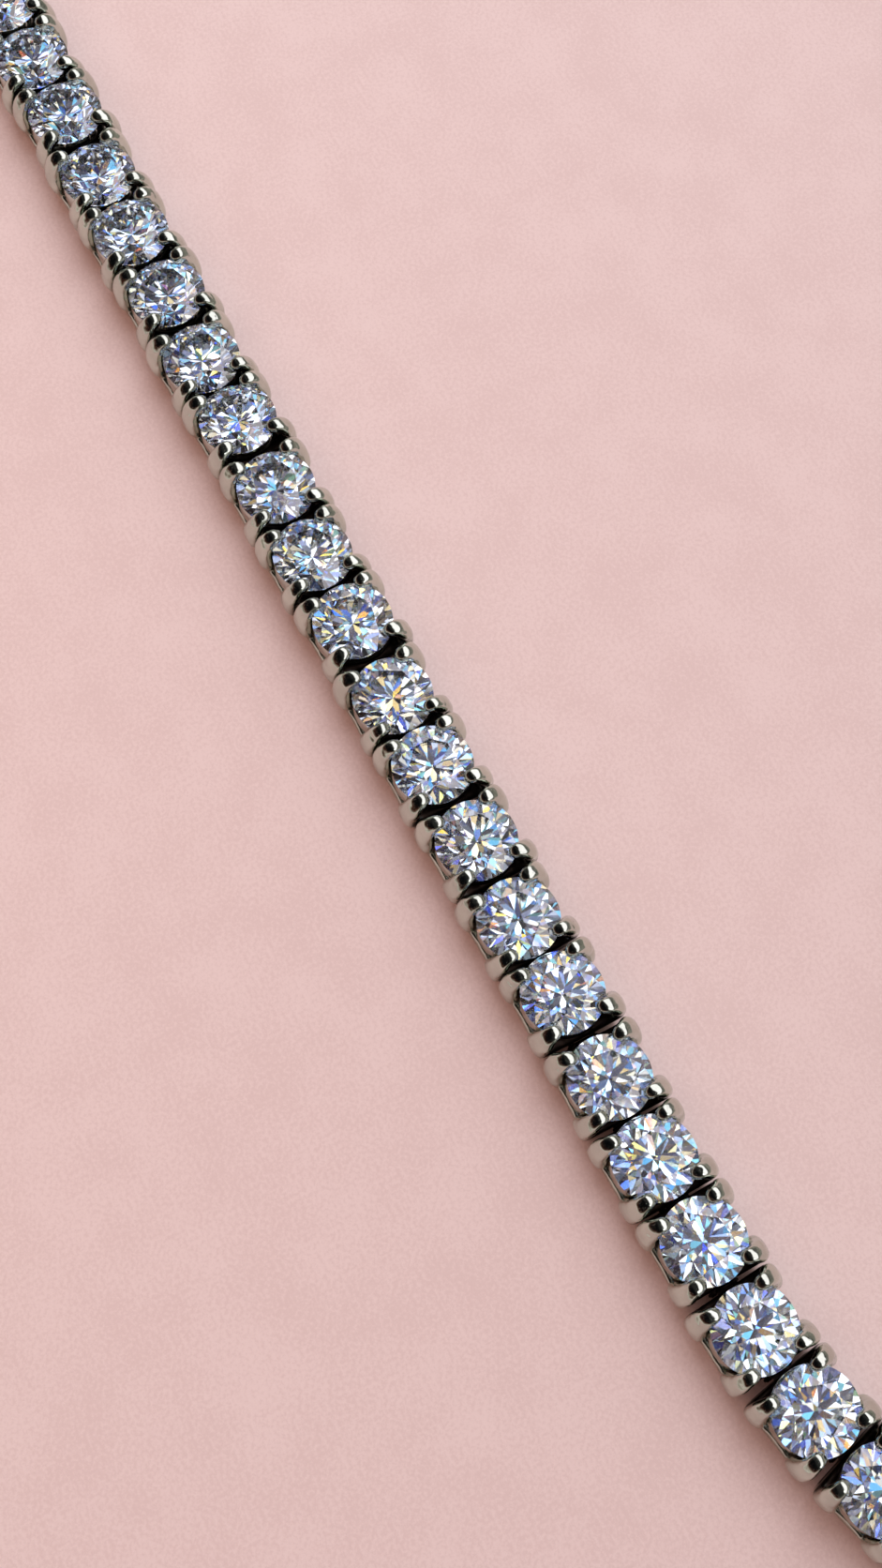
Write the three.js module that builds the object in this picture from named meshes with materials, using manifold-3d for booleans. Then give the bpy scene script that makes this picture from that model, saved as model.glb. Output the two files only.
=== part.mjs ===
// A tennis necklace lying flat: a closed row of round stones, each in a basket with four claws, and a box
// clasp at the back. Millimetres, Z up. The necklace rests on Z = 0 with its stones upwards; its straight front
// runs along X and the loop closes behind it, towards +Y.
import * as THREE from "three";
import { mergeVertices } from "three/addons/utils/BufferGeometryUtils.js";
import Module from "manifold-3d";

// The loop
const LOOP_LENGTH = 450;
const LINKS = 102;
const LINKS_PER_RUN = 6;
const CLASP_SPAN = 11.4;
const PITCH = (LOOP_LENGTH - CLASP_SPAN) / LINKS;
const FRONT_STRAIGHT = 84;
const CORNER_TURN = THREE.MathUtils.degToRad(120);

// How loosely the links lie: each one slides, steps aside and turns a little on its hinges. The beats are the
// steps, in radians from one link to the next, of the sines that share this out.
const SLIDE = 0.1;
const SLIDE_BEAT = 2.4;
const ASIDE = 0.06;
const ASIDE_BEAT = 3.9;
const YAW = THREE.MathUtils.degToRad(1.4);
const YAW_BEAT = 1.7;
const YAW_START = 1;
const LOOSE_ON_ARCS = 0.25;

// The stone
const STONE_RADIUS = 2.05;
const TABLE_RADIUS = 1.17;
const CULET_Z = 0.5;
const GIRDLE_LOW_Z = 2.2;
const GIRDLE_HIGH_Z = 2.34;
const TABLE_Z = 2.94;
const STONE_SIDES = 8;

// The basket: a trough whose side walls are cut low between the claws
const BASKET_HALF_LENGTH = 1.93;
const WINDOW_HALF_LENGTH = 1.08;
const WINDOW_LOW_Z = 1.15;
const FOOT_Y = 1.45;
const BELLY_Y = 2.42;
const BELLY_Z = 1.5;
const CLAW_TOP_Y = 1.92;
const CLAW_TOP_Z = 3.2;
const CLAW_NOSE_Y = 0.95;
const CLAW_NOSE_Z = 2.88;
const SEAT_Y = 1.9;
const SEAT_Z = 2.52;
const FLOOR_HALF_WIDTH = 1.15;
const FLOOR_Z = 0.35;
const HINGE_HALF_WIDTH = 0.65;
const HINGE_LOW_Z = 0.1;
const HINGE_HIGH_Z = 0.3;
const HINGE_REACH = 0.25;

// The clasp
const CLASP_GAP = 0.45;
const CLASP_WIDTH = 4.8;
const CLASP_HEIGHT = 3;
const CLASP_ROUND = 0.6;

const wasm = await Module();
wasm.setup();

// The route, from the middle of the front to the middle of the back, as arcs that meet smoothly. The left
// half mirrors the right half. A corner turns past 90 degrees by LEAN, and the back arc spans what is left.
const LEAN = CORNER_TURN - Math.PI / 2;
const BACK_TURN = Math.PI / 2 - LEAN;
const CORNER_RADIUS = (LOOP_LENGTH - FRONT_STRAIGHT * (1 + BACK_TURN / Math.cos(LEAN))) / (2 * Math.PI);
const BACK_RADIUS = CORNER_RADIUS + FRONT_STRAIGHT / (2 * Math.cos(LEAN));
const HALF_ROUTE = [
  { length: FRONT_STRAIGHT / 2, radius: Infinity },
  { length: CORNER_TURN * CORNER_RADIUS, radius: CORNER_RADIUS },
  { length: BACK_TURN * BACK_RADIUS, radius: BACK_RADIUS },
];

// The place on the route at a signed distance from the middle of the front.
function placeAt(distance) {
  const side = distance < 0 ? -1 : 1;
  let left = Math.abs(distance);
  let [x, y, heading, curved] = [0, 0, 0, false];
  for (const { length, radius } of HALF_ROUTE) {
    const run = Math.min(left, length);
    curved = left > 0 ? radius !== Infinity : curved;
    if (radius === Infinity) {
      x += run;
    } else {
      const turned = heading + run / radius;
      x += radius * (Math.sin(turned) - Math.sin(heading));
      y += radius * (Math.cos(heading) - Math.cos(turned));
      heading = turned;
    }
    left -= run;
  }
  return { x: side * x, y, heading: side * heading, curved };
}

// Where link number i lies, as a matrix. The sines give each link its own small slide, step and turn.
function linkMatrix(i) {
  const onRoute = (i - (LINKS - 1) / 2) * PITCH;
  const loose = placeAt(onRoute).curved ? LOOSE_ON_ARCS : 1;
  const { x, y, heading } = placeAt(onRoute + loose * SLIDE * Math.sin(SLIDE_BEAT * i));
  const aside = loose * ASIDE * Math.sin(ASIDE_BEAT * i);
  const yaw = heading + loose * YAW * Math.sin(YAW_BEAT * i + YAW_START);
  return new THREE.Matrix4()
    .makeRotationZ(yaw)
    .setPosition(x - aside * Math.sin(heading), y + aside * Math.cos(heading), 0);
}

function solid(geometry) {
  const bare = geometry.clone();
  bare.deleteAttribute("normal");
  bare.deleteAttribute("uv");
  const merged = mergeVertices(bare, 1e-4);
  return new wasm.Manifold(
    new wasm.Mesh({
      numProp: 3,
      vertProperties: merged.attributes.position.array,
      triVerts: new Uint32Array(merged.index.array),
    }),
  );
}

function geometryOf(manifold) {
  const made = manifold.getMesh();
  return new THREE.BufferGeometry()
    .setAttribute("position", new THREE.BufferAttribute(made.vertProperties, 3))
    .setIndex(new THREE.BufferAttribute(made.triVerts, 1));
}

function block([lowX, lowY, lowZ], [highX, highY, highZ]) {
  return new THREE.BoxGeometry(highX - lowX, highY - lowY, highZ - lowZ).translate(
    (lowX + highX) / 2,
    (lowY + highY) / 2,
    (lowZ + highZ) / 2,
  );
}

// An outline in the link's Y and Z, run along its X from one value to another.
function acrossLink(outline, fromX, toX) {
  const standing = new THREE.Matrix4().makeBasis(
    new THREE.Vector3(0, 1, 0),
    new THREE.Vector3(0, 0, 1),
    new THREE.Vector3(1, 0, 0),
  );
  return new THREE.ExtrudeGeometry(new THREE.Shape(outline.map(([y, z]) => new THREE.Vector2(y, z))), {
    depth: toX - fromX,
    bevelEnabled: false,
  })
    .applyMatrix4(standing)
    .translate(fromX, 0, 0);
}

// A basket: a trough under the stone, open at the top, whose walls swell outwards and hook in over the stone.
// A window across it leaves four claws. Where a next link follows, a hinge tab reaches into it.
function basket(hasNext) {
  const right = [
    [FOOT_Y, 0],
    [BELLY_Y, BELLY_Z],
    [CLAW_TOP_Y, CLAW_TOP_Z],
    [CLAW_NOSE_Y, CLAW_NOSE_Z],
    [SEAT_Y, SEAT_Z],
    [FLOOR_HALF_WIDTH, FLOOR_Z],
  ];
  const outline = [...right, ...right.map(([y, z]) => [-y, z]).reverse()];
  const trough = solid(acrossLink(outline, -BASKET_HALF_LENGTH, BASKET_HALF_LENGTH));
  const window = solid(
    block([-WINDOW_HALF_LENGTH, -PITCH, WINDOW_LOW_Z], [WINDOW_HALF_LENGTH, PITCH, 2 * CLAW_TOP_Z]),
  );
  const clawed = trough.subtract(window);
  const tab = block(
    [BASKET_HALF_LENGTH - HINGE_REACH, -HINGE_HALF_WIDTH, HINGE_LOW_Z],
    [PITCH - BASKET_HALF_LENGTH + HINGE_REACH, HINGE_HALF_WIDTH, HINGE_HIGH_Z],
  );
  return geometryOf(hasNext ? clawed.add(solid(tab)) : clawed);
}

function settingRun(matrices) {
  const baskets = matrices.map((matrix, k) => solid(basket(k < matrices.length - 1).applyMatrix4(matrix)));
  return geometryOf(baskets.reduce((all, next) => all.add(next)));
}

// A run of stones: each is an eight-sided table, crown, girdle and pavilion, with flats towards its
// neighbours, and neighbours are bridged from flat to flat along the girdle.
function stoneRun(matrices) {
  const rings = [
    [TABLE_RADIUS, TABLE_Z],
    [STONE_RADIUS, GIRDLE_HIGH_Z],
    [STONE_RADIUS, GIRDLE_LOW_Z],
  ];
  const [points, faces] = [[], []];
  const quad = (a, b, c, d) => faces.push(a, b, c, a, c, d);
  const perStone = rings.length * STONE_SIDES + 1;
  const at = (link, ring, k) => link * perStone + ring * STONE_SIDES + (k % STONE_SIDES);
  const [table, upper, lower] = [0, 1, 2];
  const [towardsNext, towardsLast] = [0, STONE_SIDES / 2];
  matrices.forEach((matrix, link) => {
    for (const [radius, z] of rings) {
      for (let k = 0; k < STONE_SIDES; k++) {
        const angle = ((k - 0.5) / STONE_SIDES) * 2 * Math.PI;
        const point = new THREE.Vector3(radius * Math.cos(angle), radius * Math.sin(angle), z);
        points.push(point.applyMatrix4(matrix));
      }
    }
    points.push(new THREE.Vector3(0, 0, CULET_Z).applyMatrix4(matrix));
    const culet = (link + 1) * perStone - 1;
    for (let k = 0; k < STONE_SIDES; k++) {
      if (k > 0 && k < STONE_SIDES - 1) {
        faces.push(at(link, table, 0), at(link, table, k), at(link, table, k + 1));
      }
      quad(at(link, upper, k), at(link, upper, k + 1), at(link, table, k + 1), at(link, table, k));
      faces.push(culet, at(link, lower, k + 1), at(link, lower, k));
      const bridged = (k === towardsNext && link < matrices.length - 1) || (k === towardsLast && link > 0);
      if (!bridged) {
        quad(at(link, lower, k), at(link, lower, k + 1), at(link, upper, k + 1), at(link, upper, k));
      }
    }
  });
  for (let link = 0; link < matrices.length - 1; link++) {
    const here = [lower, upper].map((ring) => [0, 1].map((k) => at(link, ring, towardsNext + k)));
    const there = [lower, upper].map((ring) => [1, 0].map((k) => at(link + 1, ring, towardsLast + k)));
    const [[lowRight, lowLeft], [highRight, highLeft]] = here;
    const [[farLowRight, farLowLeft], [farHighRight, farHighLeft]] = there;
    quad(highRight, farHighRight, farHighLeft, highLeft);
    quad(lowLeft, farLowLeft, farLowRight, lowRight);
    quad(lowRight, farLowRight, farHighRight, highRight);
    quad(highLeft, farHighLeft, farLowLeft, lowLeft);
  }
  return new THREE.BufferGeometry().setFromPoints(points).setIndex(faces);
}

function clasp() {
  const half = CLASP_SPAN / 2 - CLASP_GAP;
  const [y, z, r] = [CLASP_WIDTH / 2, CLASP_HEIGHT, CLASP_ROUND];
  const outline = [
    [-y + r, 0],
    [y - r, 0],
    [y, r],
    [y, z - r],
    [y - r, z],
    [-y + r, z],
    [-y, z - r],
    [-y, r],
  ];
  const { x, y: backY } = placeAt(LOOP_LENGTH / 2);
  return acrossLink(outline, -half, half).translate(x, backY, 0);
}

const metal = () => new THREE.MeshStandardMaterial({ color: 0xc9c5c1, roughness: 0.12, metalness: 1 });
const gem = () => new THREE.MeshStandardMaterial({ color: 0xeef2fa, roughness: 0.02, metalness: 0 });

function named(name, geometry, material) {
  const mesh = new THREE.Mesh(geometry, material);
  mesh.name = name;
  return mesh;
}

const group = new THREE.Group();
for (let first = 0, count = 1; first < LINKS; first += LINKS_PER_RUN, count++) {
  const number = String(count).padStart(2, "0");
  const matrices = [...Array(LINKS_PER_RUN).keys()].map((k) => linkMatrix(first + k));
  group.add(named(`setting_run_${number}`, settingRun(matrices), metal()));
  group.add(named(`stone_run_${number}`, stoneRun(matrices), gem()));
}
group.add(named("clasp", clasp(), metal()));

// The origin is the middle of the necklace's footprint, on the floor.
const middle = new THREE.Box3().setFromObject(group).getCenter(new THREE.Vector3());
group.position.set(-middle.x, -middle.y, 0);

export default group;
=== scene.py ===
# %% [markdown]
# # A tennis necklace
# A closed row of round brilliant-cut stones, each held by four claws in its own small silver basket. The
# baskets are hinged end to end and a box clasp closes the row. The fixed frame gives the size of the loop
# and the place of every basket; this lesson models one basket, one stone and the clasp in full detail,
# copies them along the loop, and then gives them their finishes, a floor, lamps and a camera.

# %% Start from the fixed frame
import math
import random

import bmesh
import bpy
from mathutils import Euler, Matrix, Vector


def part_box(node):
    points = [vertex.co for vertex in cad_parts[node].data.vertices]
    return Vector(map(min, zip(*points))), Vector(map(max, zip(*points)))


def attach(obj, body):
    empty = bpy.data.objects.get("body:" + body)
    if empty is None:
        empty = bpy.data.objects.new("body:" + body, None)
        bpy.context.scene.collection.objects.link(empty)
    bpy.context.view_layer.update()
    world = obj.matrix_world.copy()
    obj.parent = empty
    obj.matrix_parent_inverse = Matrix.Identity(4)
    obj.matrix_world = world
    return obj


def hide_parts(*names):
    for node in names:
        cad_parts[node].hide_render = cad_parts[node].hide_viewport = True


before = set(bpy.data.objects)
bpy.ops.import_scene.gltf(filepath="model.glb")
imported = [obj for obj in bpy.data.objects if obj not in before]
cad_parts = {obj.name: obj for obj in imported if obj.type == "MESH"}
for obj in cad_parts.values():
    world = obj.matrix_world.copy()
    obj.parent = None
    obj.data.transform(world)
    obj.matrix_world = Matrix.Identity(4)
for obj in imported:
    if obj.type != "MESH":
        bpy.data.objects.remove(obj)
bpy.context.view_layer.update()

# %% [markdown]
# ## Sizes
# A jeweller thinks in millimetres, so each part is modelled with one Blender unit for one millimetre. That
# also keeps Blender's tools away from their smallest steps. A part shrinks to metres when it is copied to
# its place. The loop is the frame's own: the same driving sizes give each link the same place here as
# there.

# %% The loop's driving sizes, in millimetres
MM = 0.001
LOOP_LENGTH = 450
LINKS = 102
LINKS_PER_RUN = 6
CLASP_SPAN = 11.4
PITCH = (LOOP_LENGTH - CLASP_SPAN) / LINKS
FRONT_STRAIGHT = 84
CORNER_TURN = math.radians(120)
LEAN = CORNER_TURN - math.pi / 2
BACK_TURN = math.pi / 2 - LEAN
CORNER_RADIUS = (LOOP_LENGTH - FRONT_STRAIGHT * (1 + BACK_TURN / math.cos(LEAN))) / (2 * math.pi)
BACK_RADIUS = CORNER_RADIUS + FRONT_STRAIGHT / (2 * math.cos(LEAN))
HALF_ROUTE = [  # length, radius
    (FRONT_STRAIGHT / 2, math.inf),
    (CORNER_TURN * CORNER_RADIUS, CORNER_RADIUS),
    (BACK_TURN * BACK_RADIUS, BACK_RADIUS),
]
SLIDE, SLIDE_BEAT = 0.1, 2.4
ASIDE, ASIDE_BEAT = 0.06, 3.9
YAW, YAW_BEAT, YAW_START = math.radians(1.4), 1.7, 1
LOOSE_ON_ARCS = 0.25
print(f"{LINKS} links, {PITCH:.2f} mm apart")

# %% [markdown]
# ## Where each link lies
# The route is a straight front, two corner arcs and a flatter back arc. Each link also slides, steps aside
# and turns a little, as loose hinges let it. Sines share that out, so that every run of the script lays the
# links in the same way and each one covers its frame part.


# %% A place on the route, and a link's matrix
def place_at(distance):
    """The place on the route at a signed distance from the middle of the front."""
    side = -1 if distance < 0 else 1
    left = abs(distance)
    x, y, heading, curved = 0, 0, 0, False
    for length, radius in HALF_ROUTE:
        run = min(left, length)
        curved = radius != math.inf if left > 0 else curved
        if radius == math.inf:
            x += run
        else:
            turned = heading + run / radius
            x += radius * (math.sin(turned) - math.sin(heading))
            y += radius * (math.cos(heading) - math.cos(turned))
            heading = turned
        left -= run
    return side * x, y, side * heading, curved


clasp_middle = sum(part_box("clasp"), Vector()) / 2 / MM
back_x, back_y, _, _ = place_at(LOOP_LENGTH / 2)
SHIFT = Vector((clasp_middle.x - back_x, clasp_middle.y - back_y, 0))


def link_matrix(number):
    """Where link number 0 to LINKS - 1 lies, in millimetres."""
    on_route = (number - (LINKS - 1) / 2) * PITCH
    loose = LOOSE_ON_ARCS if place_at(on_route)[3] else 1
    x, y, heading, _ = place_at(on_route + loose * SLIDE * math.sin(SLIDE_BEAT * number))
    aside = loose * ASIDE * math.sin(ASIDE_BEAT * number)
    yaw = heading + loose * YAW * math.sin(YAW_BEAT * number + YAW_START)
    middle = Vector((x - aside * math.sin(heading), y + aside * math.cos(heading), 0))
    return Matrix.Translation(middle + SHIFT) @ Matrix.Rotation(yaw, 4, "Z")


print("the first link is at", [round(n, 2) for n in link_matrix(0).translation], "mm")

# %% [markdown]
# ## Hand tools
# Every part below is made as by hand: a primitive, then extrude, move, turn and scale in edit mode, then
# modifiers. These helpers say which object is worked on and which of its faces are held, because an
# operator acts on whatever is selected.


# %% Choosing what an operator works on
def hold(piece, mode="EDIT"):
    """Makes piece the only selected object and opens it in edit mode, or closes it with OBJECT."""
    if bpy.context.mode != "OBJECT":
        bpy.ops.object.mode_set(mode="OBJECT")
    bpy.ops.object.select_all(action="DESELECT")
    piece.select_set(True)
    bpy.context.view_layer.objects.active = piece
    bpy.ops.object.mode_set(mode=mode)


def pick(piece, test, part="faces"):
    """Selects only the parts of piece for which test(middle, normal) is true. Returns how many."""
    bpy.ops.mesh.select_mode(type={"faces": "FACE", "edges": "EDGE", "verts": "VERT"}[part])
    bpy.ops.mesh.select_all(action="DESELECT")
    shape = bmesh.from_edit_mesh(piece.data)
    shape.normal_update()
    found = 0
    for item in getattr(shape, part):
        if part == "faces":
            chosen = test(item.calc_center_median(), item.normal)
        elif part == "edges":
            chosen = test((item.verts[0].co + item.verts[1].co) / 2, item.verts[1].co - item.verts[0].co)
        else:
            chosen = test(item.co, item.normal)
        item.select_set(chosen)
        found += chosen
    bmesh.update_edit_mesh(piece.data)
    return found


def modify(piece, kind, **settings):
    """Adds a modifier to piece and applies it."""
    hold(piece, "OBJECT")
    modifier = piece.modifiers.new(kind.title(), kind)
    for name, value in settings.items():
        setattr(modifier, name, value)
    bpy.ops.object.modifier_apply(modifier=modifier.name)


def tidy(piece, merge=1e-4):
    """Merges doubled points and turns every face outwards."""
    hold(piece)
    bpy.ops.mesh.select_all(action="SELECT")
    bpy.ops.mesh.remove_doubles(threshold=merge)
    bpy.ops.mesh.normals_make_consistent(inside=False)
    hold(piece, "OBJECT")


def move(x=0, y=0, z=0):
    bpy.ops.transform.translate(value=(x, y, z))


def grow(x=0, y=0, z=0):
    """Extrudes the held faces and moves the new ones."""
    bpy.ops.mesh.extrude_region_move(TRANSFORM_OT_translate={"value": (x, y, z)})


def scale(middle, x=1, y=1, z=1):
    bpy.ops.transform.resize(value=(x, y, z), center_override=middle)


def lean_over(middle, angle):
    """Turns what is held about the X axis through middle. Without a window, rotate turns the other way."""
    bpy.ops.transform.rotate(value=-angle, orient_axis="X", center_override=middle)


# %% [markdown]
# ## The stone
# A round brilliant is a rough blank ground flat again and again: a table, 8 kites and 8 stars round it, 16
# upper halves, and below the girdle 8 mains and 16 lower halves. The same is done here. A cylinder is cut
# by one plane for each facet, so that every facet is truly flat and meets its neighbours in points, which
# is what makes a brilliant sparkle. A subdivided or sculpted shape would blur that.

# %% The stone's sizes
STONE_RADIUS = 2.03
GIRDLE_Z = 2.26
GIRDLE_HALF = 0.055
GIRDLE_SIDES = 64
TABLE_RADIUS = 0.57 * STONE_RADIUS
CROWN_ANGLE = math.radians(34.5)
PAVILION_ANGLE = math.radians(40.9)
STAR_SHARE = 0.5  # how far a star reaches from the table's edge to the girdle
LOWER_HALF_SHARE = 0.77  # how far a lower half reaches from the girdle to the culet
MAINS = 8
STEP = 2 * math.pi / MAINS


# %% Cutting the stone
def on_cone(radius, turn, slope, above):
    """The point at a radius and turn on the flat of the nearest main facet, above or below the girdle."""
    off_main = (turn + STEP / 2) % STEP - STEP / 2
    rise = GIRDLE_HALF + (STONE_RADIUS - radius * math.cos(off_main)) * math.tan(slope)
    return Vector((radius * math.cos(turn), radius * math.sin(turn), GIRDLE_Z + (rise if above else -rise)))


def grind(a, b, c):
    """Cuts away all of the held stone that lies outside the plane through three points."""
    normal = (b - a).cross(c - a).normalized()
    if normal.dot(a - Vector((0, 0, GIRDLE_Z))) < 0:
        normal.negate()
    bpy.ops.mesh.select_all(action="SELECT")
    bpy.ops.mesh.bisect(plane_co=a, plane_no=normal, use_fill=True, clear_outer=True, threshold=1e-4)


def cut_brilliant():
    bpy.ops.mesh.primitive_cylinder_add(
        vertices=GIRDLE_SIDES, radius=STONE_RADIUS, depth=2 * STONE_RADIUS, location=(0, 0, GIRDLE_Z)
    )
    stone = bpy.context.object
    bpy.ops.object.transform_apply()
    hold(stone)
    edge = lambda turn, above: Vector(
        (
            STONE_RADIUS * math.cos(turn),
            STONE_RADIUS * math.sin(turn),
            GIRDLE_Z + (GIRDLE_HALF if above else -GIRDLE_HALF),
        )
    )
    table_z = on_cone(TABLE_RADIUS, 0, CROWN_ANGLE, True).z
    table = lambda turn: Vector((TABLE_RADIUS * math.cos(turn), TABLE_RADIUS * math.sin(turn), table_z))
    table_flat = TABLE_RADIUS * math.cos(STEP / 2)
    star_radius = table_flat + STAR_SHARE * (STONE_RADIUS - table_flat)
    half_radius = (1 - LOWER_HALF_SHARE) * STONE_RADIUS
    for slope, above in ((CROWN_ANGLE, True), (PAVILION_ANGLE, False)):
        for main in range(MAINS):
            turn = main * STEP
            across = Vector((-math.sin(turn), math.cos(turn), 0))
            grind(edge(turn, above), edge(turn, above) + across, on_cone(TABLE_RADIUS, turn, slope, above))
    grind(table(0), table(STEP), table(2 * STEP))
    for main in range(MAINS):
        here, between = main * STEP, (main + 0.5) * STEP
        star = on_cone(star_radius, between, CROWN_ANGLE, True)
        low = on_cone(half_radius, between, PAVILION_ANGLE, False)
        grind(table(here), table(here + STEP), star)
        for tip in (here, here + STEP):
            grind(edge(tip, True), edge(between, True), star)
            grind(edge(tip, False), edge(between, False), low)
    bpy.ops.mesh.select_all(action="SELECT")
    bpy.ops.mesh.remove_doubles(threshold=1e-3)
    bpy.ops.mesh.select_all(action="SELECT")
    bpy.ops.mesh.dissolve_limited(angle_limit=math.radians(0.2))
    hold(stone, "OBJECT")
    return stone


brilliant = cut_brilliant()
depth = [v.co.z for v in brilliant.data.vertices]
print(f"the stone has {len(brilliant.data.polygons)} flats, from z {min(depth):.2f} to {max(depth):.2f} mm")

# %% [markdown]
# ## The basket
# On the real necklace a basket is cast in one piece and polished. Two rounded rails run beside the stone,
# low down. At each end of a rail a broad column swells out, rises, narrows to a neck and bends in over the
# stone as a claw with a bead-like tip. A low wall across each end joins the rails. One quarter is enough: a
# box is extruded along the rail and then up the claw, mirrored twice and smoothed by subdivision, which
# gives the soft polished edges for nothing.

# %% The basket's sizes, for the quarter at +X and +Y
RAIL_STEPS = (0.6, 0.95, 1.46, 2.04)  # where the box is divided along the rail
CLAW_FROM = 0.9  # the column grows from what lies beyond this
WALL_FROM = 1.4  # the end wall grows from what lies beyond this
FOOT = (1.58, 2.04)  # the rail's inner and outer side at its foot
RAIL_LAYERS = ((0.3, 0.13, 0.9), (0.22, 0.05, 0.75))  # rise, outward swell and thinning, layer by layer
CREST_TO, CREST_THIN, CREST_IN = 0.61, 0.13, -0.04  # up to this X the rail's top is drawn in to a thin crest
CLAW = (  # middle along X, half width, Y, Z, thickness and lean in degrees, from the column's foot to the tip
    (1.46, 0.7, 2.12, 0.98, 0.52, -6),
    (1.48, 0.7, 2.13, 1.42, 0.58, 0),
    (1.55, 0.64, 2.08, 1.82, 0.62, 10),
    (1.61, 0.59, 1.99, 2.16, 0.6, 24),
    (1.64, 0.57, 1.84, 2.47, 0.6, 44),
    (1.59, 0.46, 1.62, 2.71, 0.66, 68),
    (1.55, 0.43, 1.37, 2.79, 0.66, 92),
    (1.53, 0.36, 1.17, 2.72, 0.52, 112),
    (1.52, 0.2, 1.04, 2.62, 0.28, 126),
)
ROUNDING = 0.11  # how far the middle line of the column stands proud of its edges
WALL_STEPS = (0.62, 0)  # the end wall is flattened at these Y
WALL_TOP = 1.3  # the end wall grows from what lies under this
KEPT_TRIANGLES = 0.56  # the flat stretches need fewer
SILL = 0.06  # the height of the first box
NEAR = 0.05  # slack for finding faces by where they are
OFF = 0.1  # how far new faces move off before they are flattened
MIDDLE_LINE = (1.4, 1.66)  # the column's middle line lies between these X
FOOT_TOP = 0.3  # and it starts above this


# %% Modelling the quarter
def rail():
    """A low box beside the stone, divided along its length, which rises in swelling layers."""
    inner, outer = FOOT
    first, *others = RAIL_STEPS
    bpy.ops.object.select_all(action="DESELECT")
    bpy.ops.mesh.primitive_cube_add(size=1, location=(first / 2, (inner + outer) / 2, SILL / 2))
    quarter = bpy.context.object
    quarter.scale = (first, outer - inner, SILL)
    bpy.ops.object.transform_apply()
    hold(quarter)
    reached = first
    for step in others:
        pick(quarter, lambda middle, normal: normal.x > 0.9 and middle.x > reached - NEAR)
        grow(x=step - reached)
        reached = step
    z, y, thick = SILL, (inner + outer) / 2, outer - inner
    for rise, swell, thin in RAIL_LAYERS:
        pick(quarter, lambda middle, normal: normal.z > 0.5 and middle.z > z - NEAR)
        grow(y=swell, z=rise)
        z, y, thick = z + rise, y + swell, thick * thin
        scale((0, y, z), y=thin)
    pick(quarter, lambda place, normal: place.z > z - NEAR and place.x < CREST_TO, "verts")
    scale((0, y, z), y=CREST_THIN)
    move(y=CREST_IN)
    return quarter, y, z, thick


def claw(quarter, y, z, thick):
    """Extrudes the rail's top end through the stations of CLAW. Each stands upright to be resized."""
    pick(quarter, lambda middle, normal: normal.z > 0.5 and middle.z > z - NEAR and middle.x > CLAW_FROM)
    x, half, lean = (RAIL_STEPS[1] + RAIL_STEPS[-1]) / 2, (RAIL_STEPS[-1] - RAIL_STEPS[1]) / 2, 0
    for next_x, next_half, next_y, next_z, next_thick, next_lean in CLAW:
        grow(next_x - x, next_y - y, next_z - z)
        middle = (next_x, next_y, next_z)
        lean_over(middle, -math.radians(lean))
        scale(middle, x=next_half / half, y=next_thick / thick)
        lean_over(middle, math.radians(next_lean))
        x, half, y, z, thick, lean = next_x, next_half, next_y, next_z, next_thick, next_lean


def round_column(quarter):
    """Makes the column round instead of flat: its middle line stands proud."""
    low, high = MIDDLE_LINE
    on_line = lambda place, normal: low < place.x < high and place.z > FOOT_TOP and abs(normal.x) < 0.5
    pick(quarter, on_line, "verts")
    bpy.ops.transform.shrink_fatten(value=ROUNDING)


def end_wall(quarter):
    """Grows the end wall from the column's inner side to the middle line."""
    inner_side = lambda middle, normal: normal.y < -0.5 and middle.x > WALL_FROM and middle.z < WALL_TOP
    pick(quarter, inner_side)
    for y in WALL_STEPS:
        grow(y=-OFF)
        scale((0, y, 0), y=0)
    bpy.ops.mesh.delete(type="FACE")


quarter, rail_y, rail_z, rail_thick = rail()
claw(quarter, rail_y, rail_z, rail_thick)
round_column(quarter)
end_wall(quarter)
pick(quarter, lambda middle, normal: normal.x < -0.9 and middle.x < 0.01)
bpy.ops.mesh.delete(type="FACE")
hold(quarter, "OBJECT")
print(f"the rail's top is at y {rail_y:.2f}, z {rail_z:.2f} mm")

# %% [markdown]
# Mirror makes the other three quarters, and Subdivision Surface rounds the whole casting. Decimate then
# takes out points where the surface is nearly flat, because there are over a hundred copies.

# %% The mirror and the smoothing
basket = quarter
modify(basket, "MIRROR", use_axis=(True, True, False), use_mirror_merge=True, merge_threshold=1e-3)
tidy(basket)
cage_faces = len(basket.data.polygons)
modify(basket, "SUBSURF", levels=2, render_levels=2)
modify(basket, "DECIMATE", ratio=KEPT_TRIANGLES)
bpy.ops.object.shade_smooth()
print(f"the basket's cage has {cage_faces} faces, and {len(basket.data.polygons)} when smoothed")

# %% [markdown]
# ## The cup
# The stone doesn't sit on the rails. A thin cup inside them holds it just under the girdle, and its rim
# shows from above as a thin ring. The cup is a shape of revolution, so a circle is extruded and resized
# from one station of its profile to the next.


# %% The cup, turned from a circle
CUP_SIDES = 44
CUP_PROFILE = (  # radius and Z: over the rim, down the outside, across the foot and up the inside
    (1.87, 2.03),
    (1.89, 2.08),
    (1.93, 2.09),
    (1.98, 1.96),
    (2.03, 1.6),
    (2.04, 1.1),
    (2.0, 0.75),
    (1.9, 0.6),
    (1.6, 0.7),
    (1.25, 0.85),
    (1.12, 0.85),
    (1.15, 1.2),
    (1.3, 1.5),
    (1.87, 2.03),
)


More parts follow.
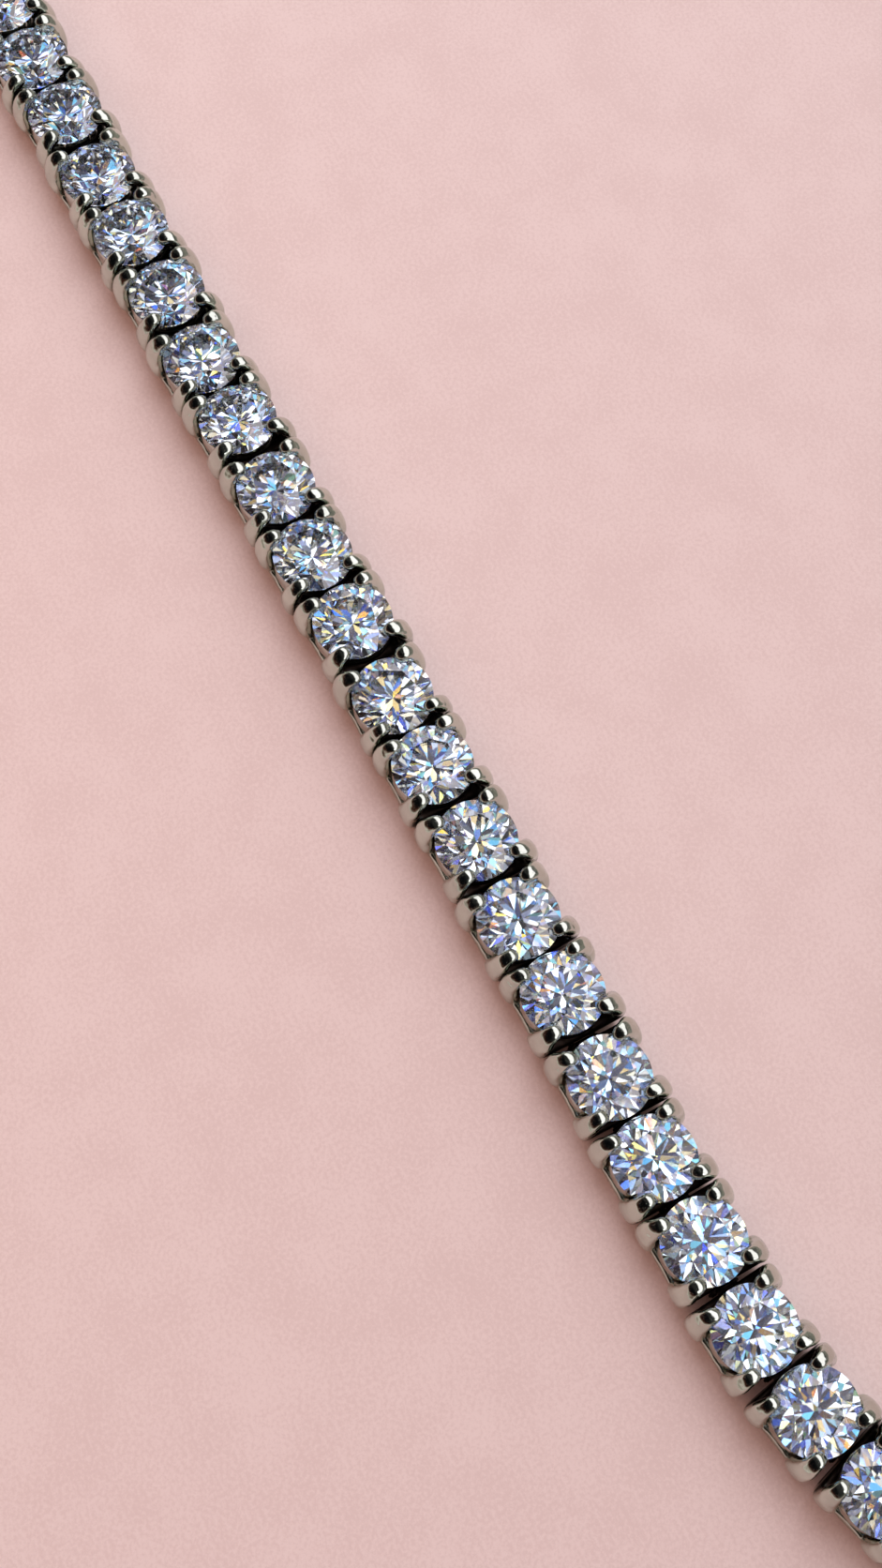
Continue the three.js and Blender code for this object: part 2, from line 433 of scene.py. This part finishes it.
def turned(sides, profile):
    """A ring of revolution about Z, extruded from one (radius, height) of the profile to the next."""
    radius, z = profile[0]
    bpy.ops.object.select_all(action="DESELECT")
    bpy.ops.mesh.primitive_circle_add(vertices=sides, radius=radius, location=(0, 0, z))
    ring = bpy.context.object
    bpy.ops.object.transform_apply()
    hold(ring)
    bpy.ops.mesh.select_mode(type="EDGE")
    bpy.ops.mesh.select_all(action="SELECT")
    for next_radius, next_z in profile[1:]:
        grow(z=next_z - z)
        scale((0, 0, next_z), x=next_radius / radius, y=next_radius / radius)
        radius, z = next_radius, next_z
    tidy(ring)
    return ring


cup = turned(CUP_SIDES, CUP_PROFILE)
bpy.ops.object.shade_smooth_by_angle(angle=math.radians(50))
print(f"the cup has {len(cup.data.polygons)} faces")

# %% [markdown]
# ## The hinge
# Under the gap between two stones, two ears of one basket take the knuckle of the next between them, and a
# pin goes through all three. Each is a short cylinder with its rims bevelled, and a flat lug carries it
# from the end wall. Ears and knuckle are modelled about their common axis, because that axis lies midway
# between two links.


# %% The hinge's ears, knuckle and pin
HINGE_Z = 0.5
HINGE_RADIUS = 0.13
PIN_RADIUS = 0.07
EAR_MIDDLE, EAR_WIDTH = 0.56, 0.3
KNUCKLE_WIDTH = 0.76
PIN_WIDTH = 1.6
HINGE_SIDES = 12
LUG_LENGTH, LUG_HEIGHT = 0.38, 0.2


def barrel(x, y, radius, width):
    """A short cylinder along Y with bevelled rims."""
    bpy.ops.object.select_all(action="DESELECT")
    bpy.ops.mesh.primitive_cylinder_add(
        vertices=HINGE_SIDES,
        radius=radius,
        depth=width,
        location=(x, y, HINGE_Z),
        rotation=(math.pi / 2, 0, 0),
    )
    made = bpy.context.object
    bpy.ops.object.transform_apply()
    modify(made, "BEVEL", width=0.02, segments=1, limit_method="ANGLE", angle_limit=math.radians(60))
    bpy.ops.object.shade_smooth_by_angle(angle=math.radians(50))
    return made


def lug(side, y, width):
    """A flat bar from the hinge's axis towards one basket."""
    bpy.ops.object.select_all(action="DESELECT")
    bpy.ops.mesh.primitive_cube_add(size=1, location=(side * LUG_LENGTH / 2, y, HINGE_Z))
    made = bpy.context.object
    made.scale = (LUG_LENGTH, width, LUG_HEIGHT)
    bpy.ops.object.transform_apply()
    return made


def joined(name, parts):
    """Joins parts into one object."""
    hold(parts[0], "OBJECT")
    for part in parts[1:]:
        part.select_set(True)
    if len(parts) > 1:
        bpy.ops.object.join()
    parts[0].name = name
    return parts[0]


ear_parts = [barrel(0, 0, PIN_RADIUS, PIN_WIDTH)]
for side in (-1, 1):
    ear_parts.append(barrel(0, side * EAR_MIDDLE, HINGE_RADIUS, EAR_WIDTH))
    ear_parts.append(lug(-1, side * EAR_MIDDLE, EAR_WIDTH))
ears = joined("ears", ear_parts)
knuckle_end = joined("knuckle", [barrel(0, 0, HINGE_RADIUS, KNUCKLE_WIDTH), lug(1, 0, KNUCKLE_WIDTH)])
setting = joined("setting", [basket, cup])


# %% [markdown]
# Painted shade goes inside each basket and on the ends that face a neighbour: the silver there is nearly
# black.
# Each point gets a number for that, which the silver reads: 1 deep inside and 0 on the open surfaces.


# %% Noting where shade is painted
INSIDE_Y, INSIDE_Z = (1.78, -0.15), (1.85, -0.2)  # where each fade starts, and its signed width
END_X, END_Y, END_Z = (2.05, 0.04), (2.3, -0.2), (1.9, -0.4)


def fade(value, start, width):
    """0 up to start and 1 past its width. A negative width fades the other way."""
    return min(1, max(0, (value - start) / width))


# Paints shade into the inside and the ends: each point gets 0 where open and up to 1 where shaded.
def note_painted_shade(piece):
    shade_amounts = []
    for point in piece.data.vertices:
        x, y, z = abs(point.co.x), abs(point.co.y), point.co.z
        inside = fade(y, *INSIDE_Y) * fade(z, *INSIDE_Z)
        end = fade(x, *END_X) * fade(z, *END_Z) * fade(y, *END_Y)
        shade_amounts.append(max(inside, end))
    attribute = piece.data.attributes.new("recess", "FLOAT", "POINT")
    attribute.data.foreach_set("value", shade_amounts)


for pattern in (setting, ears, knuckle_end):
    note_painted_shade(pattern)
setting_triangles = sum(
    len(face.vertices) - 2 for pattern in (setting, ears, knuckle_end) for face in pattern.data.polygons
)
print(f"one setting has {setting_triangles} triangles, and {LINKS} have {LINKS * setting_triangles}")

# %% [markdown]
# ## Fitting the links
# The links slide a little, so equal baskets as long as the slots ask for would run into each other where
# two lie close. A jeweller files the ends until they clear. Here the outermost part of each end is pressed
# in, just enough to stop short of the plane midway to the neighbour, and the hinge goes on that plane.


# %% Filing a basket's ends
BASKET_END = max(point.co.x for point in setting.data.vertices)
BASKET_HALF = max(point.co.y for point in setting.data.vertices)
FILE_FROM = 1.75  # only what lies beyond this is pressed in
CLEARANCE = 0.03


def joint_matrix(number):
    """Where the hinge after a link lies: midway to the next link and turned halfway."""
    if number < 0:
        return link_matrix(0) @ Matrix.Translation((-PITCH / 2, 0, 0))
    if number == LINKS - 1:
        return link_matrix(number) @ Matrix.Translation((PITCH / 2, 0, 0))
    return link_matrix(number).lerp(link_matrix(number + 1), 0.5)


def press(number, side):
    """How far an end of a basket is pressed in: 1 leaves it as it is."""
    joint = joint_matrix(number if side > 0 else number - 1)
    seen = link_matrix(number).inverted() @ joint
    reach = side * seen.translation.x - BASKET_HALF * math.tan(abs(seen.to_euler().z)) - CLEARANCE
    return min(1, (reach - FILE_FROM) / (BASKET_END - FILE_FROM))


def filed(source, number):
    """A copy of the setting with both ends pressed in to clear the neighbours."""
    hold(source, "OBJECT")
    copy = source.copy()
    copy.data = source.data.copy()
    bpy.context.collection.objects.link(copy)
    hold(copy)
    for side in (-1, 1):
        pick(copy, lambda place, normal: side * place.x > FILE_FROM, "verts")
        scale((side * FILE_FROM, 0, 0), x=press(number, side))
    hold(copy, "OBJECT")
    return copy


presses = [press(number, side) for number in range(LINKS) for side in (-1, 1)]
print(f"the ends keep from {min(presses):.2f} to {max(presses):.2f} of their outermost part")

# %% [markdown]
# ## Laying the necklace
# A filed setting, its half of each hinge and a stone go to every place of the loop, six places to a run,
# and each run is joined into one piece that stands for the frame's run. The stones get their own turn,
# since no jeweller lines up the facets, and each leans by up to a degree or two in its claws.


# %% Copying along the loop
RUNS = LINKS // LINKS_PER_RUN
TILT = math.radians(1.6)


def laid(sources, name, places):
    """Copies each source to its place and joins the copies into one piece in metres at the origin."""
    hold(sources[0], "OBJECT")
    copies = []
    for source, place in zip(sources, places):
        copy = source.copy()
        copy.data = source.data.copy()
        bpy.context.collection.objects.link(copy)
        copy.matrix_world = Matrix.Scale(MM, 4) @ place
        copies.append(copy)
    piece = joined(name, copies)
    hold(piece, "OBJECT")
    bpy.ops.object.transform_apply()
    piece.data.name = name
    return piece


def set_stone(chance):
    """A small random lean about the girdle's middle, and any turn about the stone's own axis."""
    middle = Matrix.Translation((0, 0, GIRDLE_Z))
    lean = Euler((chance.uniform(-TILT, TILT), chance.uniform(-TILT, TILT), chance.uniform(0, 2 * math.pi)))
    return middle @ lean.to_matrix().to_4x4() @ middle.inverted()


chance = random.Random(11)
settings, stones = [], []
for run in range(RUNS):
    numbers = range(run * LINKS_PER_RUN, (run + 1) * LINKS_PER_RUN)
    label = f"{run + 1:02d}"
    baskets = [filed(setting, number) for number in numbers]
    places = [link_matrix(number) for number in numbers]
    places += [joint_matrix(number) for number in numbers]
    places += [joint_matrix(number - 1) for number in numbers]
    sources = baskets + [ears] * LINKS_PER_RUN + [knuckle_end] * LINKS_PER_RUN
    piece = laid(sources, f"settings_{label}", places)
    for basket_copy in baskets:
        bpy.data.objects.remove(basket_copy)
    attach(piece, "root")
    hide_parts(f"setting_run_{label}")
    settings.append(piece)
    places = [link_matrix(number) @ set_stone(chance) for number in numbers]
    piece = laid([brilliant] * LINKS_PER_RUN, f"stones_{label}", places)
    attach(piece, "root")
    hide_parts(f"stone_run_{label}")
    stones.append(piece)
for pattern in (setting, ears, knuckle_end, brilliant):
    bpy.data.objects.remove(pattern)
print(f"{len(settings)} runs of settings and {len(stones)} of stones, {LINKS_PER_RUN} in each")

# %% [markdown]
# ## The clasp
# At the back a box clasp closes the loop. Its box is open at one end and takes a folded spring tongue; the
# tongue's head closes the end and a thumb piece on top lets it go. A figure-of-eight catch at the side
# locks over a small peg. The clasp is one plain piece here, made from bevelled boxes, a torus and a ball.


# %% The box, the tongue's head, the thumb piece and the safety catch
CLASP_GAP = 0.45
CLASP_HALF = CLASP_SPAN / 2 - CLASP_GAP
CLASP_WIDTH = 4.6
CLASP_HEIGHT = 3
HEAD_LENGTH = 1.5
SEAM = 0.14
EDGE = 0.4
PANEL_BORDER, PANEL_DEPTH = 0.28, 0.1
TONGUE_SIZE = (1.2, CLASP_WIDTH - 1.1, CLASP_HEIGHT - 1)
THUMB_SIZE = (1.9, 1.3, 0.34)
CATCH_LOOPS = ((-0.6, 0.75), (0.72, 0.55))  # X and radius of the figure of eight
CATCH_WIRE = 0.13
PEG_X, PEG_RADIUS = 1.15, 0.26


def block(x, y, z, size, edge, segments=3):
    """A box with its middle at x, y, z and with rounded edges."""
    bpy.ops.object.select_all(action="DESELECT")
    bpy.ops.mesh.primitive_cube_add(size=1, location=(x, y, z))
    made = bpy.context.object
    made.scale = size
    bpy.ops.object.transform_apply()
    modify(made, "BEVEL", width=edge, segments=segments)
    return made


def panel(made, facing, border, rise):
    """Insets the faces that look one way and raises or sinks what is inside."""
    hold(made)
    pick(made, lambda middle, normal: normal.dot(facing) > 0.99)
    bpy.ops.mesh.inset(thickness=border, depth=0)
    bpy.ops.mesh.inset(thickness=abs(rise), depth=rise)
    hold(made, "OBJECT")


box_length = 2 * CLASP_HALF - HEAD_LENGTH - SEAM
box = block(-CLASP_HALF + box_length / 2, 0, CLASP_HEIGHT / 2, (box_length, CLASP_WIDTH, CLASP_HEIGHT), EDGE)
for facing in (Vector((0, 0, 1)), Vector((0, 1, 0)), Vector((0, -1, 0))):
    panel(box, facing, PANEL_BORDER, -PANEL_DEPTH)
head_size = (HEAD_LENGTH, CLASP_WIDTH, CLASP_HEIGHT)
head = block(CLASP_HALF - HEAD_LENGTH / 2, 0, CLASP_HEIGHT / 2, head_size, EDGE)
tongue = block(CLASP_HALF - HEAD_LENGTH, 0, CLASP_HEIGHT / 2, TONGUE_SIZE, 0.1)
thumb = block(CLASP_HALF - HEAD_LENGTH - 0.4, 0, CLASP_HEIGHT - 0.12, THUMB_SIZE, 0.15)
knuckles = []
for side in (-1, 1):
    knuckles.append(barrel(side * (CLASP_HALF + CLASP_GAP * 0.55), 0, HINGE_RADIUS, KNUCKLE_WIDTH))
    knuckles.append(block(side * (CLASP_HALF + 0.1), 0, HINGE_Z, (0.4, KNUCKLE_WIDTH - 0.1, 0.2), 0.03, 1))

bpy.ops.object.select_all(action="DESELECT")
loops = []
for x, radius in CATCH_LOOPS:
    bpy.ops.mesh.primitive_torus_add(
        major_radius=radius,
        minor_radius=CATCH_WIRE,
        major_segments=28,
        minor_segments=10,
        location=(x, CLASP_WIDTH / 2 + 0.02, CLASP_HEIGHT / 2),
        rotation=(math.pi / 2, 0, 0),
    )
    loops.append(bpy.context.object)
    bpy.ops.object.transform_apply()
bpy.ops.mesh.primitive_uv_sphere_add(
    segments=16, ring_count=10, radius=PEG_RADIUS, location=(PEG_X, CLASP_WIDTH / 2 + 0.1, CLASP_HEIGHT / 2)
)
peg = bpy.context.object
clasp = joined("clasp_box", [box, head, tongue, thumb, *knuckles, *loops, peg])
bpy.ops.object.shade_smooth_by_angle(angle=math.radians(40))
clasp_place = Matrix.Translation((clasp_middle.x, clasp_middle.y, 0)) @ Matrix.Rotation(math.pi, 4, "Z")
box_clasp = laid([clasp], "box_clasp", [clasp_place])
bpy.data.objects.remove(clasp)
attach(box_clasp, "root")
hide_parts("clasp")
print("the clasp measures", [round(side / MM, 2) for side in box_clasp.dimensions], "mm")

# %% [markdown]
# ## Writing shaders
# A finish is a small graph of nodes. The class Wire stands for one output of a node, so that sums on wires
# read like Python and each operator adds its Math node. Graph.node makes every other node.


# %% Wires and graphs
class Wire:
    """One output of a node. Sums of wires and numbers add Math nodes."""

    def __init__(self, graph, socket):
        self.graph = graph
        self.socket = socket

    def maths(self, operation, *values):
        return self.graph.node("ShaderNodeMath", {"operation": operation}, dict(enumerate(values)))

    def __add__(self, other):
        return self.maths("ADD", self, other)

    def __radd__(self, other):
        return self.maths("ADD", other, self)

    def __mul__(self, other):
        return self.maths("MULTIPLY", self, other)

    def __rmul__(self, other):
        return self.maths("MULTIPLY", other, self)

    def other(self, output):
        """Another output of the same node."""
        return Wire(self.graph, self.socket.node.outputs[output])

    def past(self, start, end):
        """0 before start, 1 past end, and a smooth step in between."""
        settings = {"interpolation_type": "SMOOTHSTEP"}
        inputs = {"Value": self, "From Min": start, "From Max": end}
        return self.graph.node("ShaderNodeMapRange", settings, inputs)


class Graph:
    """The node tree of a material or a world, emptied."""

    def __init__(self, owner):
        owner.use_nodes = True
        self.tree = owner.node_tree
        self.tree.nodes.clear()

    def node(self, kind, settings=None, inputs=None, output=0):
        """Adds one node: its settings, then the values or wires of its sockets. Gives one of its outputs."""
        made = self.tree.nodes.new(kind)
        for name, value in (settings or {}).items():
            if name == "stops":
                self.stops(made.color_ramp, value)
            elif name == "steps":
                made.color_ramp.interpolation = "CONSTANT"
            else:
                setattr(made, name, value)
        for name, value in (inputs or {}).items():
            if isinstance(value, Wire):
                self.tree.links.new(value.socket, made.inputs[name])
            else:
                made.inputs[name].default_value = value
        return Wire(self, made.outputs[output]) if made.outputs else made

    def stops(self, ramp, stops):
        """Sets a colour ramp's stops from (place, colour) pairs."""
        while len(ramp.elements) < len(stops):
            ramp.elements.new(1)
        for element, (place, colour) in zip(ramp.elements, stops):
            element.position = place
            element.color = (*colour, 1)

    def mix(self, factor, first, second, blend="MIX"):
        """A blend of two colours."""
        settings = {"data_type": "RGBA", "blend_type": blend}
        colours = [value if isinstance(value, Wire) else (*value, 1) for value in (first, second)]
        return self.node("ShaderNodeMix", settings, {0: factor, 6: colours[0], 7: colours[1]}, 2)

    def noise(self, place, scale, detail=2, roughness=0.5):
        inputs = {"Vector": place, "Scale": scale, "Detail": detail, "Roughness": roughness}
        return self.node("ShaderNodeTexNoise", {}, inputs)


print("shader tools are ready")

# %% [markdown]
# ## Silver
# The settings are cast and polished silver: warm grey, nearly a mirror, with the faint waviness of a
# casting and hair-fine scratches. Both come from noise in object space. The recesses noted above get painted
# shade, nearly black, and are rougher. The clasp's flat sides are satin instead, with almost no waviness.


# %% Cast silver and satin silver
SILVER_BRIGHT = (0.585, 0.625, 0.55)
SILVER_WORN = (0.5, 0.53, 0.47)
# painted shade: the nearly black colour the recesses get in place of their shade
SILVER_PAINTED_SHADE = (0.03, 0.02, 0.016)


def silver(name, ripple, dullness):
    finish = bpy.data.materials.new(name)
    graph = Graph(finish)
    place = graph.node("ShaderNodeTexCoord", {}, {}, "Object")
    cloud = graph.noise(place, 900, 3)
    wave = graph.noise(place, 2000, 0.6)
    grain = graph.noise(place, 9000, 2)
    stretched = graph.node("ShaderNodeMapping", {}, {"Vector": place, "Scale": (3, 0.35, 0.35)})
    scratch = graph.noise(stretched, 22000, 1).past(0.66, 0.72)
    colour = graph.mix(cloud.past(0.3, 0.75), SILVER_BRIGHT, SILVER_WORN)
    roughness = dullness + cloud * 0.07 + scratch * 0.08
    height = wave * ripple + grain * 0.03 + scratch * -0.02
    bump = graph.node("ShaderNodeBump", {}, {"Strength": 0.65, "Distance": 0.00014, "Height": height})
    # Painted shade: the noted recesses turn nearly black, and rougher.
    recess = graph.node("ShaderNodeAttribute", {"attribute_name": "recess"}, {}, "Fac")
    colour = graph.mix(recess, colour, SILVER_PAINTED_SHADE)
    roughness = roughness + recess * 0.35
    inputs = {"Base Color": colour, "Metallic": 1, "Roughness": roughness, "Normal": bump}
    surface = graph.node("ShaderNodeBsdfPrincipled", {}, inputs)
    graph.node("ShaderNodeOutputMaterial", {}, {"Surface": surface})
    return finish


cast_silver = silver("cast_silver", ripple=1, dullness=0.07)
satin_silver = silver("satin_silver", ripple=0.06, dullness=0.27)
print("made", cast_silver.name, "and", satin_silver.name)

# %% [markdown]
# ## Crystal
# The stones are clear, with a high refractive index. Their look is nearly all refraction, so the shader is
# plain: no colour, no bump and only a trace of roughness, which takes the hardest edge off the flashes. The
# sparkle comes from the facets and from what they find in the sky.

# %% The clear stone
CRYSTAL_IOR = 2.3
CRYSTAL_ROUGHNESS = 0.045


def crystal():
    finish = bpy.data.materials.new("clear_crystal")
    graph = Graph(finish)
    inputs = {
        "Base Color": (1, 1, 1, 1),
        "Roughness": CRYSTAL_ROUGHNESS,
        "IOR": CRYSTAL_IOR,
        "Transmission Weight": 1,
    }
    surface = graph.node("ShaderNodeBsdfPrincipled", {}, inputs)
    graph.node("ShaderNodeOutputMaterial", {}, {"Surface": surface})
    return finish


crystal_finish = crystal()
for pieces, finish in ((settings, cast_silver), ([box_clasp], satin_silver), (stones, crystal_finish)):
    for piece in pieces:
        piece.data.materials.clear()
        piece.data.materials.append(finish)
print("made", crystal_finish.name)

# %% [markdown]
# ## The table top
# The necklace lies on a pale pink, smooth-grained surface, such as skin-soft leather or card. It is almost
# matt, with a faint mottle and a fine grain that the low light picks out.


# %% The pink surface
FLOOR_SIZE = 6
PINK = (0.82, 0.602, 0.583)
PINK_DEEP = (0.76, 0.542, 0.523)


def pink_surface():
    finish = bpy.data.materials.new("pink_surface")
    graph = Graph(finish)
    place = graph.node("ShaderNodeTexCoord", {}, {}, "Object")
    mottle = graph.noise(place, 260, 4, 0.6)
    grain = graph.noise(place, 2600, 3)
    speckle = graph.noise(place, 5200, 2, 0.7)
    colour = graph.mix((mottle * 0.35 + speckle * 0.65).past(0.4, 0.6), PINK, PINK_DEEP)
    height = mottle * 0.6 + grain * 0.4
    bump = graph.node("ShaderNodeBump", {}, {"Strength": 0.25, "Distance": 0.0001, "Height": height})
    inputs = {"Base Color": colour, "Roughness": 0.62, "Normal": bump, "Specular IOR Level": 0.25}
    surface = graph.node("ShaderNodeBsdfPrincipled", {}, inputs)
    graph.node("ShaderNodeOutputMaterial", {}, {"Surface": surface})
    return finish


bpy.ops.object.select_all(action="DESELECT")
bpy.ops.mesh.primitive_plane_add(size=FLOOR_SIZE, location=(0, 0, -0.00002))
floor = bpy.context.object
floor.name = "table_top"
floor.data.materials.append(pink_surface())
print("the surface is", FLOOR_SIZE, "m wide")

# %% [markdown]
# ## Light
# A jeweller's sparkle needs a dark room with many small bright lamps: bright against dark is what flashes
# in the facets. Polished silver, however, wants one broad soft window and a calm surround. The sky gives
# each kind of ray its own room. Rays that leave a stone see a chequer of small lamps, looked up three times
# with slightly turned directions for red, green and blue, since a real stone bends each by its own angle:
# that is its fire. Rays that bounce off silver see a dim room with a bright band low down. The surface gets
# a soft fill, dim and warm from the near side and brighter and neutral from the far side, and the camera
# sees one plain backdrop.


# %% The sky
FIRE_TURNS = (math.radians(-0.8), 0, math.radians(1.6))  # for red, green and blue
FIRE_AXIS = (0.8, 0.55, 0.2)
BROAD_CELL, SMALL_CELL = 3.2, 9.5  # cells across one unit of direction
BROAD_LAMPS = (  # colour from this share of the cells on
    (0, (0, 0, 0)),
    (0.28, (0.06, 0.08, 0.2)),
    (0.42, (0.4, 0.45, 0.7)),
    (0.54, (0.3, 0.23, 0.25)),
    (0.71, (1.95, 1.95, 2.05)),
    (0.9, (1.5, 1.15, 0.5)),
    (0.95, (0.35, 1.1, 1.5)),
)
SMALL_LAMPS = ((0, (0, 0, 0)), (0.72, (0.3, 0.35, 0.5)), (0.84, (3, 3.1, 3.5)))
GLOOM, HAZE = (0.02, 0.019, 0.024), (0.2, 0.18, 0.2)
FILL_NEAR, FILL_FAR = (0.228, 0.085, 0.061), (0.676, 0.697, 0.669)
BACKDROP = (0.66, 0.59, 0.565)
ROOM_NEAR = (  # what silver sees on the near side, by height
    (0, (0.9, 0.81, 0.76)),
    (0.06, (0.66, 0.58, 0.53)),
    (0.13, (0.42, 0.34, 0.29)),
    (0.24, (0.09, 0.03, 0.02)),
    (0.42, (0.02, 0.009, 0.008)),
    (0.6, (0.004, 0.004, 0.005)),
)
ROOM_FAR = ((0, (0.36, 0.33, 0.29)), (0.3, (0.2, 0.19, 0.17)), (0.5, (0.03, 0.03, 0.03)))
CROWD_SCALE, CROWD_DIM = 1.3, (0.55, 0.55, 0.6)  # where lamps are few
CRYSTAL_TINT = (1.06, 1.11, 1.17)


def lamps_seen(graph, way, scale, colours, core, edge):
    """A chequer of lamps: each cell has one colour, full out to core and gone at edge."""
    near = graph.node("ShaderNodeTexVoronoi", {}, {"Vector": way, "Scale": scale}, "Distance")
    share = graph.node("ShaderNodeSeparateColor", {}, {0: near.other("Color")}, "Red")
    colour = graph.node("ShaderNodeValToRGB", {"stops": colours, "steps": True}, {0: share}, "Color")
    return graph.mix(near.past(edge, core), (0, 0, 0), colour)


def sky():
    world = bpy.data.worlds.new("sky")
    bpy.context.scene.world = world
    graph = Graph(world)
    way = graph.node("ShaderNodeTexCoord", {}, {}, "Generated")
    height = graph.node("ShaderNodeSeparateXYZ", {}, {0: way}, "Z")
    far = height.other("Y").past(-0.45, -0.1)
    channels = []
    for turn, channel in zip(FIRE_TURNS, ("Red", "Green", "Blue")):
        inputs = {"Vector": way, "Axis": FIRE_AXIS, "Angle": turn}
        bent = graph.node("ShaderNodeVectorRotate", {"rotation_type": "AXIS_ANGLE"}, inputs)
        haze = graph.mix(graph.noise(bent, 2.2, 1).past(0.35, 0.7), GLOOM, HAZE)
        broad = lamps_seen(graph, bent, BROAD_CELL, BROAD_LAMPS, 0.3, 0.62)
        small = lamps_seen(graph, bent, SMALL_CELL, SMALL_LAMPS, 0.26, 0.5)
        seen = graph.mix(1, graph.mix(1, haze, broad, "ADD"), small, "ADD")
        channels.append(graph.node("ShaderNodeSeparateColor", {}, {0: seen}, channel))
    lamps = graph.node("ShaderNodeCombineColor", {}, dict(enumerate(channels)))
    crowd = graph.noise(way, CROWD_SCALE, 1).past(0.38, 0.62)
    lamps = graph.mix(crowd, lamps, graph.mix(1, lamps, CROWD_DIM, "MULTIPLY"))
    lamps = graph.mix(1, lamps, CRYSTAL_TINT, "MULTIPLY")
    near_room = graph.node("ShaderNodeValToRGB", {"stops": ROOM_NEAR}, {0: height}, "Color")
    far_room = graph.node("ShaderNodeValToRGB", {"stops": ROOM_FAR}, {0: height}, "Color")
    room = graph.mix(far, near_room, far_room)
    ray = lambda kind: graph.node("ShaderNodeLightPath", {}, {}, kind)
    fill = graph.mix(height.other("Y") * 0.5 + 0.5, FILL_NEAR, FILL_FAR)
    seen = graph.mix(ray("Is Camera Ray"), fill, BACKDROP)
    seen = graph.mix(ray("Is Glossy Ray"), seen, room)
    seen = graph.mix(ray("Is Transmission Ray"), seen, lamps)
    background = graph.node("ShaderNodeBackground", {}, {"Color": seen, "Strength": 1})
    graph.node("ShaderNodeOutputWorld", {}, {"Surface": background})
    world.cycles.sampling_method = "NONE"
    return world


sky()
print("the sky has a room for each kind of ray")

# %% [markdown]
# Four area lamps. The window is broad, soft and on the far side, and it only draws highlights. The ceiling
# lamp lights the surface but doesn't show in the silver. The near lamp is small and warm, and it lightens
# the shadow without casting one. The side lamp is tiny. None shows to the camera or through a stone.


# %% Lamps
def lamp(name, place, aim, watts, width, depth, colour=(1, 1, 1)):
    light = bpy.data.lights.new(name, "AREA")
    light.shape = "RECTANGLE"
    light.size = width
    light.size_y = depth
    light.energy = watts
    light.color = colour
    made = bpy.data.objects.new(name, light)
    bpy.context.collection.objects.link(made)
    made.location = place
    made.rotation_euler = (Vector(aim) - Vector(place)).to_track_quat("-Z", "Y").to_euler()
    made.visible_camera = False
    return made


AIM = (0.01621, -0.05436, 0.00285)
window = lamp("window", (0.02, 0.124, 0.244), AIM, 1.6, 1.2, 0.236, (1, 0.94, 1))
window.visible_diffuse = False
ceiling = lamp("ceiling", (-0.33, 0.13, 0.38), AIM, 2.586, 0.5, 0.5, (0.79, 0.919, 1))
ceiling.visible_glossy = False
near = lamp("near_lamp", (-0.03, -0.13, 0.1), AIM, 0.037, 0.12, 0.12, (1, 0.672, 0.47))
near.visible_glossy = False
near.data.use_shadow = False
side = lamp("side_lamp", (0.2, -0.02, 0.2), AIM, 0.02, 0.03, 0.03)
for light in (window, ceiling, near, side):
    light.visible_transmission = False
print("lamps:", window.name, ceiling.name, near.name, side.name)

# %% [markdown]
# ## Camera
# The camera looks steeply down at the right end of the straight front, from close by, and is rolled a
# little. It stays sharp from front to back.

# %% The camera
AZIMUTH = math.radians(59.43)
ELEVATION = math.radians(71.65)
DISTANCE = 0.0908
ROLL = math.radians(2.39)
LENS = 43.06

camera_data = bpy.data.cameras.new("camera")
camera = bpy.data.objects.new("camera", camera_data)
bpy.context.collection.objects.link(camera)
bpy.context.scene.camera = camera
camera_data.lens = LENS
camera_data.sensor_width = 36
camera_data.clip_start = 0.001
back = Vector(
    (
        math.sin(AZIMUTH) * math.cos(ELEVATION),
        -math.cos(AZIMUTH) * math.cos(ELEVATION),
        math.sin(ELEVATION),
    )
)
camera.location = Vector(AIM) + DISTANCE * back
camera.rotation_euler = ((-back).to_track_quat("-Z", "Y") @ Euler((0, 0, ROLL)).to_quaternion()).to_euler()
print("the camera is at", [round(place, 4) for place in camera.location])

# %% [markdown]
# Light crosses a stone many times before it leaves, so the renderer follows long paths. Light focused
# through the stones would only add noise, so it is left out, but what the silver throws back is kept. The
# view keeps clean whites, as a product picture does.

# %% Long paths through the stones
scene = bpy.context.scene
scene.cycles.max_bounces = 14
scene.cycles.glossy_bounces = 12
scene.cycles.transmission_bounces = 12
scene.cycles.caustics_refractive = False
scene.view_settings.view_transform = "Standard"
print("paths of up to", scene.cycles.max_bounces, "bounces")
